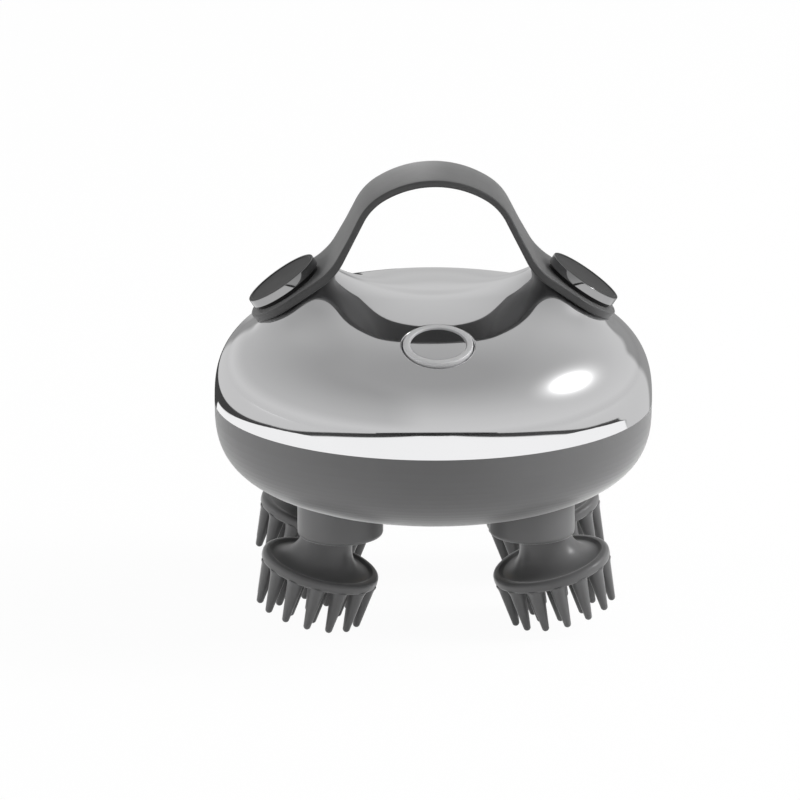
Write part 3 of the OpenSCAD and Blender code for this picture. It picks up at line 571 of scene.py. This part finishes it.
def hand_strap():
    at, pad_at = strap_path()
    half_t, half_w = STRAP_T / 2, STRAP_W / 2
    flare_from, flare_to = 9.0, at(pad_at)[0][0] - 6.0
    edge, edge_steps = 0.42, 5
    sag, sag_end, sag_run, sag_most = 0.3, 10, 8, 1.3
    straight, round_end, across = 220, 48, 7

    def width(s):
        u = min(1, max(0, (abs(at(s)[0][0]) - flare_from) / (flare_to - flare_from)))
        return half_w + (PAD_R - half_w) * u * u * (3 - 2 * u)

    # the outline by distance and depth: a long side and a round end, twice
    outline = []
    for end in (1, -1):
        for i in range(straight + 1):
            s = end * (2 * pad_at * i / straight - pad_at)
            outline.append((s, -end * width(s)))
        for i in range(1, round_end):
            a = -end * math.pi / 2 + math.pi * i / round_end
            outline.append((end * pad_at + PAD_REACH * math.cos(a), PAD_R * math.sin(a)))
    outline = np.array(outline)
    ahead, behind = np.roll(outline, -1, 0), np.roll(outline, 1, 0)
    run = (ahead - behind) / np.linalg.norm(ahead - behind, axis=1)[:, None]
    inset = outline + np.stack([-run[:, 1], run[:, 0]], 1) * edge

    def partner(s, y):
        """The place on the middle line or round the hole that an outline place is joined to."""
        a, sign = abs(s), (1 if s >= 0 else -1)
        if a < pad_at - PAD_HOLE_R:
            return (s, 0.0)
        if a <= pad_at:
            dy = math.sqrt(max(0, PAD_HOLE_R ** 2 - (a - pad_at) ** 2))
            return (s, math.copysign(dy, y))
        d = math.hypot(a - pad_at, y)
        return (sign * (pad_at + PAD_HOLE_R * (a - pad_at) / d), PAD_HOLE_R * y / d)

    middle = np.array([partner(s, y) for s, y in outline])

    def lifted(flat, height):
        pts = []
        for (s, y), h in zip(flat, height):
            (x, z), (nx, nz) = at(s)
            pts.append((x + nx * h, y, z + nz * h))
        return np.array(pts)

    def crowned(flat):
        """The height of the top, which falls to its sides and is flat on the pads."""
        fade = np.clip((pad_at - sag_end - np.abs(flat[:, 0])) / sag_run, 0, 1)
        share = np.abs(flat[:, 1]) / half_w
        return half_t - sag * fade * np.minimum(share, sag_most) ** 2

    def below(flat, lift=0.0):
        return lifted(flat, np.full(len(flat), -half_t + lift))

    rows = []
    spans = [middle + (inset - middle) * (j / across) for j in range(across + 1)]
    for flat in spans:
        rows.append(lifted(flat, crowned(flat)))
    base = crowned(inset)
    quarter = [k / edge_steps * math.pi / 2 for k in range(edge_steps + 1)]
    for a in quarter[1:]:
        flat = inset + (outline - inset) * math.sin(a)
        rows.append(lifted(flat, base - edge * (1 - math.cos(a))))
    for a in quarter:
        rows.append(below(outline + (inset - outline) * (1 - math.cos(a)),
                          edge * (1 - math.sin(a))))
    rows += [below(flat) for flat in spans[-2::-1]]
    rows.append(rows[0])
    build = Build()
    build.grid(rows)
    # the last strip is a wall only round the two holes
    count = len(outline)
    holed = np.abs(middle[:, 1]) > 1e-9
    keep = [holed[j] or holed[(j + 1) % count] for j in range(count)]
    build.faces[-count:] = [face for face, wall in zip(build.faces[-count:], keep) if wall]
    build.finish = build.finish[:len(build.faces)]
    build.piece("hand_strap", "housing", ["strap"], [STRAP_RUBBER], 50)


hand_strap()


# ---- Strap caps ----

def strap_cap(name, side):
    """A cap with a bright wall round a dark, slightly sunk face."""
    spigot_r, spigot_low, under = 2.9, -3.55, 1.85
    rim_r, face_r, face_z = CAP_R - 0.6, CAP_R - 0.8, CAP_TOP - 0.15
    profile = [(0, spigot_low), (spigot_r, spigot_low), (spigot_r, under), (CAP_NECK_R, under)]
    wall_from = len(profile)
    profile += rounded([(CAP_NECK_R, under), (CAP_NECK_R, CAP_LOW), (CAP_R, CAP_LOW),
                        (CAP_R, CAP_TOP), (rim_r, CAP_TOP), (face_r, face_z), (0, face_z)],
                       [0, 0.1, 0.12, 0.16, 0.1, 0.1, 0])[1:]
    finishes = [0 if i > wall_from and r > CAP_R - 0.05 else 1 for i, (r, _) in enumerate(profile)]
    build = Build()
    build.lathe(profile, 160, seat_place(side), finishes)
    build.piece(name, "housing", [name], [CAP_EDGE, CAP_FACE], 25)


strap_cap("strap_cap_left", -1)
strap_cap("strap_cap_right", 1)


# ---- Button ----

def button():
    """A plated disc, slightly domed, in a satin ring; both press in together."""
    disc_r = BUTTON_R - RING_W
    side_r, foot_r, foot_low, sunk, dome = disc_r - 0.05, 2.2, -5.2, -0.1, 0.16
    flange_r, flange_top, ring_top = BORE_R + 1.2, -4.3, 0.15
    profile = [(0, foot_low), (foot_r, foot_low), (foot_r, -BUTTON_FLANGE),
               (side_r, -BUTTON_FLANGE), (side_r, sunk - 0.12), (side_r - 0.12, sunk)]
    profile += [(disc_r * s, sunk + dome * (1 - s * s)) for s in (0.93, 0.8, 0.6, 0.4, 0.2, 0)]
    disc = Build()
    disc.lathe(profile, 128, BUTTON_PLACE)
    disc.piece("button_disc", "button", ["button_cap"], [PLATED], 40)
    loop = rounded([(disc_r, -BUTTON_FLANGE), (disc_r, ring_top), (BUTTON_R, ring_top),
                    (BUTTON_R, flange_top), (flange_r, flange_top), (flange_r, -BUTTON_FLANGE),
                    (disc_r, -BUTTON_FLANGE)], [0, 0.2, 0.25, 0.1, 0.1, 0.1, 0])
    rim = Build()
    rim.lathe(loop, 128, BUTTON_PLACE)
    rim.piece("button_rim", "button", ["button_ring"], [SATIN_RING], 40)


button()


# ---- Massage heads ----

def bristle_tree():
    """Bristles in two rings and a centre one, each a tapered peg with a round tip."""
    tree = bpy.data.node_groups.new("bristle rings", "GeometryNodeTree")
    tree.interface.new_socket("Geometry", in_out="OUTPUT", socket_type="NodeSocketGeometry")
    sizes = {}
    for label, kind, value in [
            ("Length", FLOAT, BRISTLE_LEN * MM), ("Root Radius", FLOAT, ROOT_R * MM),
            ("Tip Radius", FLOAT, TIP_R * MM), ("Outer Radius", FLOAT, OUTER_RING * MM),
            ("Inner Radius", FLOAT, INNER_RING * MM), ("Outer Count", "NodeSocketInt", OUTER_COUNT),
            ("Inner Count", "NodeSocketInt", INNER_COUNT), ("Finish", "NodeSocketMaterial", None)]:
        socket = tree.interface.new_socket(label, in_out="INPUT", socket_type=kind)
        if value is not None:
            socket.default_value = value
        sizes[label] = socket.identifier
    n = Nodes(tree)
    given = n.add("NodeGroupInput").outputs
    end = n.add("NodeGroupOutput")
    # one bristle: a line whose stem tapers and whose last steps close a round tip
    stem, tip, facets = 10, 6, 20
    sink, foot_high, foot_out = 0.0003, 0.0008, 0.0002
    line = n.add("GeometryNodeCurvePrimitiveLine")
    steps = n.add("GeometryNodeResampleCurve", {"Curve": line.outputs[0], "Count": stem + tip + 1})
    index = n.add("GeometryNodeInputIndex").outputs[0]
    run = n.math("MINIMUM", n.math("DIVIDE", index, stem), 1.0)
    bend = n.math("DIVIDE", n.math("SUBTRACT", index, stem), tip)
    bend = n.math("MULTIPLY", n.math("MAXIMUM", bend, 0.0), math.pi / 2 * 0.98)
    reach = n.math("SUBTRACT", given["Length"], given["Tip Radius"])
    drop = n.math("MULTIPLY_ADD", n.math("POWER", run, 1.6), n.math("ADD", reach, sink), -sink)
    drop = n.math("MULTIPLY_ADD", n.math("SINE", bend), given["Tip Radius"], drop)
    spot = n.add("ShaderNodeCombineXYZ", {"Z": n.math("MULTIPLY", drop, -1.0)}).outputs[0]
    laid = n.add("GeometryNodeSetPosition", {"Geometry": steps.outputs[0], "Position": spot})
    taper = n.spread(drop, 0.0, reach, given["Root Radius"], given["Tip Radius"])
    foot = n.math("POWER", n.spread(drop, 0.0, foot_high, 1.0, 0.0), 2.0)
    foot = n.math("MULTIPLY", foot, foot_out)
    radius = n.math("MULTIPLY", n.math("ADD", taper, foot), n.math("COSINE", bend))
    ring = n.add("GeometryNodeCurvePrimitiveCircle", {"Resolution": facets, "Radius": 1.0})
    peg = n.add("GeometryNodeCurveToMesh", {"Curve": laid.outputs[0],
                                            "Profile Curve": ring.outputs[0],
                                            "Scale": radius, "Fill Caps": True})
    outer = n.add("GeometryNodeMeshCircle", {"Vertices": given["Outer Count"],
                                             "Radius": given["Outer Radius"]})
    inner = n.add("GeometryNodeMeshCircle", {"Vertices": given["Inner Count"],
                                             "Radius": given["Inner Radius"]})
    half = n.math("DIVIDE", math.pi, given["Inner Count"])
    half_turn = n.add("ShaderNodeCombineXYZ", {"Z": half}).outputs[0]
    spun = n.add("GeometryNodeTransform", {"Geometry": inner.outputs[0], "Rotation": half_turn})
    centre = n.add("GeometryNodeMeshLine", {"Count": 1})
    places = n.add("GeometryNodeJoinGeometry")
    for source in (outer, spun, centre):
        tree.links.new(source.outputs[0], places.inputs[0])
    pegs = n.add("GeometryNodeInstanceOnPoints", {"Points": places.outputs[0],
                                                  "Instance": peg.outputs[0]})
    real = n.add("GeometryNodeRealizeInstances", {"Geometry": pegs.outputs[0]})
    coat = n.add("GeometryNodeSetMaterial", {"Geometry": real.outputs[0],
                                             "Material": given["Finish"]})
    n.feed(end, "Geometry", coat.outputs[0])
    return tree, sizes


def bristle_mesh():
    """The bristles of one head as a plain mesh, hanging from z = 0."""
    tree, sizes = bristle_tree()
    blank = bpy.data.objects.new("bristle_source", bpy.data.meshes.new("bristle_source"))
    bpy.context.scene.collection.objects.link(blank)
    modifier = blank.modifiers.new("bristles", "NODES")
    modifier.node_group = tree
    modifier[sizes["Finish"]] = HEAD_RUBBER
    bpy.context.view_layer.update()
    ready = blank.evaluated_get(bpy.context.evaluated_depsgraph_get())
    mesh = bpy.data.meshes.new_from_object(ready)
    bpy.data.objects.remove(blank)
    return mesh


BRISTLES = bristle_mesh()


def massage_head(corner):
    """A hollow silicone cup on its leaning neck, with the bristles under it."""
    place = head_place(corner)
    rim_top, rim_low = -(FLANGE_REACH - FLANGE_T / 2), -(FLANGE_REACH + FLANGE_T / 2)
    mouth = (COLLAR_DROP - BEND_DROP) / math.cos(HEAD_TILT)
    neck_r = COLLAR_R - COLLAR_WALL - (mouth + 1) * math.sin(HEAD_TILT) - 0.1
    neck_top, neck_edge = -4.6, 0.4
    flare_top, flare_steps = -mouth - 0.3, 24
    dish_r, dish_z = FLANGE_R - 2.0, rim_top - 0.35
    # the stiff core: a stem and a plate
    stem_r, plate_r, plate_top, plate_t = neck_r - 1.45, 8.85, -(FLANGE_REACH - 0.75), 1.1
    profile = [(stem_r, neck_top), (neck_r - neck_edge, neck_top), (neck_r, neck_top - neck_edge)]
    for i in range(flare_steps + 1):
        a = math.pi / 2 * i / flare_steps
        profile.append((neck_r + (dish_r - neck_r) * (1 - math.cos(a)),
                        flare_top + (dish_z - flare_top) * math.sin(a)))
    profile += rounded([(dish_r, dish_z), (FLANGE_R - 1.35, rim_top), (FLANGE_R, rim_top),
                        (FLANGE_R, rim_low), (0, rim_low)], [0, 0.5, 0.85, 0.6, 0], 7)[1:-1]
    profile += [(0, rim_low), (0, plate_top - plate_t), (plate_r, plate_top - plate_t),
                (plate_r, plate_top), (stem_r, plate_top), (stem_r, neck_top)]
    name, body = "massage_head_" + corner, "head_" + corner
    cup = Build()
    cup.lathe(profile, 112, place)
    cup.piece(name, body, [name], [HEAD_RUBBER], 40)
    mesh = BRISTLES.copy()
    metres = place.copy()
    metres.translation *= MM
    mesh.transform(metres @ shift(0, 0, rim_low * MM))
    mesh.materials.clear()
    finished(mesh, "bristles_" + corner, body, [], [HEAD_RUBBER], 60)


for corner in CORNERS:
    massage_head(corner)


# ---- Floor, light and camera ----

WALL_TONE, EDGE_TONE = 0.61, 0.03


def backdrop_tone_group():
    """Tone of the grey studio beyond the pale table, by direction from the object."""
    tree, n, given, end = new_group(
        "backdrop tone", [("Direction", VECTOR, (0.0, 0.0, 0.0)), ("Side Tone", FLOAT, WALL_TONE),
                          ("Rear Shade", FLOAT, 0.30), ("Rear Tone", FLOAT, 0.52)],
        [("Tone", FLOAT), ("Rearward", FLOAT)])
    axes = n.add("ShaderNodeSeparateXYZ", {0: given["Direction"]}).outputs
    level = n.add("ShaderNodeCombineXYZ", {"X": axes["X"], "Y": axes["Y"]}).outputs[0]
    length = n.add("ShaderNodeVectorMath", {0: level}, operation="LENGTH").outputs["Value"]
    rear = n.math("DIVIDE", axes["Y"], n.math("MAXIMUM", length, 1e-5))
    left = n.math("LESS_THAN", axes["X"], 0.0)
    shade = n.spread(rear, n.math("MULTIPLY_ADD", left, 0.165, 0.77),
                     n.math("MULTIPLY_ADD", left, 0.13, 0.83), smooth=True)
    middle = n.spread(rear, 0.975, 0.992, smooth=True)
    tone = n.spread(shade, 0, 1, given["Side Tone"], given["Rear Shade"])
    n.feed(end, "Tone", n.spread(middle, 0, 1, tone, given["Rear Tone"]))
    n.feed(end, "Rearward", rear)
    return tree


BACKDROP = backdrop_tone_group()


def floor_paint():
    """White where the camera looks, pale in light, and a painted reflection that only polished
    pieces see.
    """
    mat = bpy.data.materials.new("pale floor")
    mat.use_nodes = True
    mat.node_tree.nodes.clear()
    n = Nodes(mat.node_tree)
    spot = n.add("ShaderNodeTexCoord").outputs["Object"]
    noise = n.add("ShaderNodeTexNoise", {"Vector": spot, "Scale": 40.0})
    paint = n.add("ShaderNodeBsdfDiffuse", {
        "Color": n.spread(noise.outputs["Fac"], 0.3, 0.7, 0.84, 0.87)}).outputs[0]
    glow = n.add("ShaderNodeEmission", {"Color": (1, 1, 1, 1), "Strength": 1.0}).outputs[0]
    # painted reflection: polished pieces such as the plated shell see the table as a white sheet
    # with a dark edge on a grey ground, a glowing pattern shown only to glossy rays
    axes = n.add("ShaderNodeSeparateXYZ", {0: spot}).outputs
    across, along = n.math("ABSOLUTE", axes["X"]), axes["Y"]
    behind = n.math("MAXIMUM", along, 0.0)
    before = n.math("MAXIMUM", n.math("MULTIPLY", along, -1.0), 0.0)
    soft = n.math("MULTIPLY_ADD", before, 0.03, 0.004)

    def beyond(sideways, slope, reach):
        """How far a place lies past a sloping line on the floor, in metres."""
        return n.math("SUBTRACT", n.math("MULTIPLY_ADD", along, slope, sideways), reach)

    off_reflected_sheet = n.math("MAXIMUM", beyond(across, 0.11, 0.262), beyond(across, 0.95, 0.245))
    off_reflected_sheet = n.math("MAXIMUM", beyond(axes["X"], 3.0, 0.33), off_reflected_sheet)
    off_reflected_sheet = n.spread(off_reflected_sheet, n.math("MULTIPLY", soft, -1.5), soft)
    past_reflected_edge = beyond(n.math("MULTIPLY_ADD", behind, 0.2, across), 0.55, 0.29)
    past_reflected_edge = n.spread(past_reflected_edge, n.math("MULTIPLY", soft, -1.0), soft)
    rear_right = n.math("MULTIPLY", n.math("GREATER_THAN", axes["X"], 0.0),
                        n.spread(along, 0.05, 0.057))
    past_reflected_edge = n.math("MAXIMUM", rear_right, past_reflected_edge)
    ground = n.add("ShaderNodeGroup", {"Direction": spot}, node_tree=BACKDROP).outputs["Tone"]
    # the painted reflection's tone: white on the sheet, dark at its edge, grey beyond
    painted_reflection = n.spread(off_reflected_sheet, 0, 1, 1.0, n.spread(past_reflected_edge, 0, 1, EDGE_TONE, ground))
    reflection_glow = n.add("ShaderNodeEmission", {"Color": painted_reflection, "Strength": 1.0}).outputs[0]
    path = n.add("ShaderNodeLightPath").outputs
    seen = n.math("MAXIMUM", path["Is Camera Ray"], path["Is Transmission Ray"])
    plain = n.add("ShaderNodeMixShader", {0: n.math("MULTIPLY", seen, 0.96), 1: paint, 2: glow})
    # glossy rays see the painted reflection instead of the lit floor
    whole = n.add("ShaderNodeMixShader", {0: n.math("MULTIPLY", path["Is Glossy Ray"], 0.97),
                                          1: plain.outputs[0], 2: reflection_glow})
    n.feed(n.add("ShaderNodeOutputMaterial"), "Surface", whole.outputs[0])
    return mat


def floor():
    count, radius, drop = 96, 5.0, 0.0002
    turns = [2 * math.pi * k / count for k in range(count)]
    points = [(radius * math.cos(a), radius * math.sin(a), -drop) for a in turns]
    mesh = bpy.data.meshes.new("floor")
    mesh.from_pydata(points, [], [tuple(range(count))])
    mesh.materials.append(floor_paint())
    obj = bpy.data.objects.new("floor", mesh)
    bpy.context.scene.collection.objects.link(obj)


def studio():
    """A grey studio that darkens overhead, with one soft window; white where the camera looks."""
    world = bpy.data.worlds.new("studio")
    bpy.context.scene.world = world
    world.use_nodes = True
    world.node_tree.nodes.clear()
    n = Nodes(world.node_tree)
    way = n.add("ShaderNodeTexCoord").outputs["Generated"]
    axes = n.add("ShaderNodeSeparateXYZ", {0: way}).outputs
    height = axes["Z"]
    around = n.add("ShaderNodeGroup", {"Direction": way}, node_tree=BACKDROP).outputs

    # the tone by height
    stops = [(-1.0, WALL_TONE), (0.0, WALL_TONE), (0.088, 0.66), (0.342, 0.61), (0.588, 0.53),
             (0.809, 0.435), (0.956, 0.36), (1.0, 0.355)]
    ramp = n.add("ShaderNodeValToRGB", {"Fac": n.spread(height, -1, 1)})
    band = ramp.color_ramp
    while len(band.elements) < len(stops):
        band.elements.new(0.5)
    for element, (z, tone) in zip(band.elements, stops):
        element.position = (z + 1) / 2
        element.color = (tone, tone, tone, 1)

    # near the horizon it goes on as the ground does
    low = n.spread(height, 0.17, 0.25, 1.0, 0.0, smooth=True)
    ground = n.spread(low, 0, 1, 1.0, n.math("DIVIDE", around["Tone"], WALL_TONE))
    # the far left is dimmer half way up
    leftward = n.spread(axes["X"], -0.05, -0.45, smooth=True)
    half_up = n.math("MULTIPLY", n.spread(height, 0.02, 0.3, smooth=True),
                     n.spread(height, 0.97, 0.8, smooth=True))
    veil = n.math("MULTIPLY_ADD", n.math("MULTIPLY", leftward, half_up), -0.17, 1.0)
    walls = n.scaled(n.scaled(ramp.outputs["Color"], ground), veil)
    # a dark edge stands above the front horizon, highest straight ahead
    edge = n.math("MULTIPLY_ADD", n.math("ADD", around["Rearward"], 1.0), -0.43, 0.063)
    ahead = n.spread(n.math("SUBTRACT", height, edge), -0.004, 0.006, 1.0, 0.0)
    ahead = n.math("MULTIPLY", ahead, n.math("GREATER_THAN", edge, 0.0))
    walls = n.mixed(ahead, walls, (EDGE_TONE, EDGE_TONE, EDGE_TONE, 1))

    # the window: an oval with a strong core and a wide soft border
    window_to, window_wide, window_high = Vector((0.802, 0.056, 0.595)), 0.242, 0.166
    to = window_to.normalized()
    side = to.cross(Vector((0, 0, 1))).normalized()
    rise = side.cross(to)
    u = n.math("DIVIDE", n.dot(way, side), window_wide)
    v = n.math("DIVIDE", n.dot(way, rise), window_high)
    far = n.math("SQRT", n.math("ADD", n.math("MULTIPLY", u, u), n.math("MULTIPLY", v, v)))
    window = n.math("MULTIPLY", n.spread(far, 2.5, -0.5, smooth=True),
                    n.math("GREATER_THAN", n.dot(way, to), 0.0))
    core = n.math("MULTIPLY", n.math("POWER", window, 8.0), 60.0)
    glow = n.math("MULTIPLY_ADD", n.math("POWER", window, 2.0), 2.0, core)
    lit = n.add("ShaderNodeVectorMath", {0: walls, 1: glow}, operation="ADD").outputs[0]

    seen = n.add("ShaderNodeLightPath").outputs["Is Camera Ray"]
    back = n.add("ShaderNodeBackground", {"Color": n.mixed(seen, lit, (1, 1, 1, 1)),
                                          "Strength": 1.0})
    n.feed(n.add("ShaderNodeOutputWorld"), "Surface", back.outputs[0])


def aimed(name, data, place, away_from):
    """Puts a lamp or camera in its place, with its back to a direction."""
    obj = bpy.data.objects.new(name, data)
    obj.location = place
    obj.rotation_euler = (-away_from).to_track_quat("-Z", "Y").to_euler()
    bpy.context.scene.collection.objects.link(obj)
    return obj


def lamp(name, place, aim, size, power):
    """A round lamp that polished pieces don't mirror."""
    data = bpy.data.lights.new(name, "AREA")
    data.shape, data.size, data.energy = "DISK", size, power
    aimed(name, data, place, Vector(place) - Vector(aim)).visible_glossy = False


def camera():
    azimuth, elevation = math.radians(-1.5), math.radians(15.9)
    target = Vector((-6.85, 0, SEAM - 0.25)) * MM
    back = Vector((math.sin(azimuth) * math.cos(elevation),
                   -math.cos(azimuth) * math.cos(elevation), math.sin(elevation)))
    data = bpy.data.cameras.new("camera")
    data.sensor_fit = "HORIZONTAL"
    data.angle = 2 * math.atan(VIEW_POINTS / VIEW_SCALE / 2 / VIEW_AWAY)
    data.clip_start, data.clip_end = 0.05, 30
    place = target + VIEW_AWAY * MM * back
    bpy.context.scene.camera = aimed("camera", data, place, back)


floor()
studio()
lamp("overhead_lamp", (1.0, 0.3, 1.1), (0, 0, 0.04), 1.0, 6.5)
lamp("left_lamp", (-1.1, 0.1, 0.1), (0, 0, 0.04), 0.5, 10.0)
lamp("right_lamp", (0.9, 0.0, 0.4), (0, 0, 0.05), 0.4, 6.0)
camera()
bpy.context.scene.view_settings.view_transform = "Standard"
